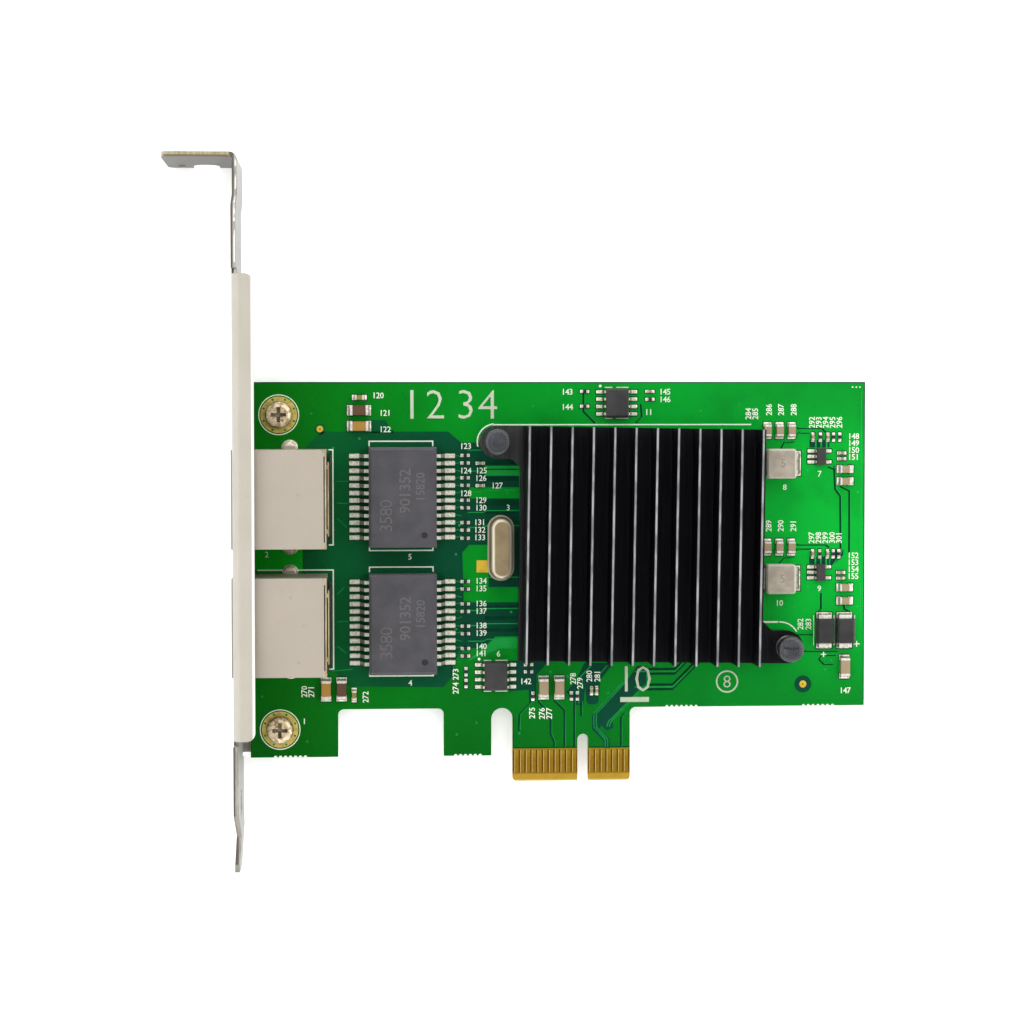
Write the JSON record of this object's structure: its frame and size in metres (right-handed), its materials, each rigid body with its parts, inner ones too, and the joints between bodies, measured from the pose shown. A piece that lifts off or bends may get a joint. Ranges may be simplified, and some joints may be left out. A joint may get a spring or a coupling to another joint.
{
  "type": "network interface card",
  "caption": "Full-height network interface card with shielded jacks in its bracket, a finned black heat sink on push pins and a short edge connector.",
  "frame": {"origin": "middle of the key notch at the tip of the edge connector, halfway through the board", "axes": "+X along the card away from the bracket; +Y up the card, away from the connector; +Z out of the component side"},
  "size_m": [0.1199, 0.12, 0.0184],
  "materials": {
    "board_resin": "glossy solder mask over glass epoxy",
    "gold_plating": "bright plated",
    "bracket_plate": "nickel plated, satin",
    "screw_steel": "bright nickel plated",
    "shield_metal": "bright nickel plated",
    "housing_black": "moulded, satin",
    "contact_wire": "gold plated",
    "light_guide": "clear moulded",
    "package_black": "moulded, fine matt",
    "tinned_lead": "tin plated",
    "sink_black": "black anodised",
    "pin_nylon": "moulded, satin",
    "spring_wire": "drawn wire",
    "pad_grey": "soft filled silicone",
    "crystal_metal": "nickel plated, satin",
    "core_grey": "pressed powder, painted",
    "ceramic_tan": "fired ceramic with tinned ends",
    "resistor_dark": "ceramic with a glazed top"
  },
  "bodies": {
    "root": {"bracket": "bracket_plate", "bracket_screw_lower": "screw_steel", "bracket_screw_upper": "screw_steel", "capacitors_0402": "ceramic_tan", "capacitors_0603": "ceramic_tan", "capacitors_0805": "ceramic_tan", "capacitors_1206": "ceramic_tan", "circuit_board": "board_resin", "controller_chip": "package_black", "crystal_can": "crystal_metal", "crystal_header": "crystal_metal", "crystal_leads": "tinned_lead", "diode_inner_body": "package_black", "diode_inner_terminals": "tinned_lead", "diode_outer_body": "package_black", "diode_outer_terminals": "tinned_lead", "edge_contacts_back": "gold_plating", "edge_contacts_front": "gold_plating", "flash_chip_body": "package_black", "flash_chip_leads": "tinned_lead", "heat_sink": "sink_black", "inductor_lower_core": "core_grey", "inductor_lower_terminals": "tinned_lead", "inductor_upper_core": "core_grey", "inductor_upper_terminals": "tinned_lead", "jack_lower_activity_light": "light_guide", "jack_lower_contacts": "contact_wire", "jack_lower_housing": "housing_black", "jack_lower_link_light": "light_guide", "jack_lower_shield": "shield_metal", "jack_upper_activity_light": "light_guide", "jack_upper_contacts": "contact_wire", "jack_upper_housing": "housing_black", "jack_upper_link_light": "light_guide", "jack_upper_shield": "shield_metal", "push_pin_lower": "pin_nylon", "push_pin_lower_spring": "spring_wire", "push_pin_upper": "pin_nylon", "push_pin_upper_spring": "spring_wire", "regulator_lower_body": "package_black", "regulator_lower_leads": "tinned_lead", "regulator_upper_body": "package_black", "regulator_upper_leads": "tinned_lead", "resistors_0402": "resistor_dark", "settings_chip_body": "package_black", "settings_chip_leads": "tinned_lead", "thermal_pad": "pad_grey", "transformer_lower_body": "package_black", "transformer_lower_leads": "tinned_lead", "transformer_upper_body": "package_black", "transformer_upper_leads": "tinned_lead"}
  },
  "joints": []
}
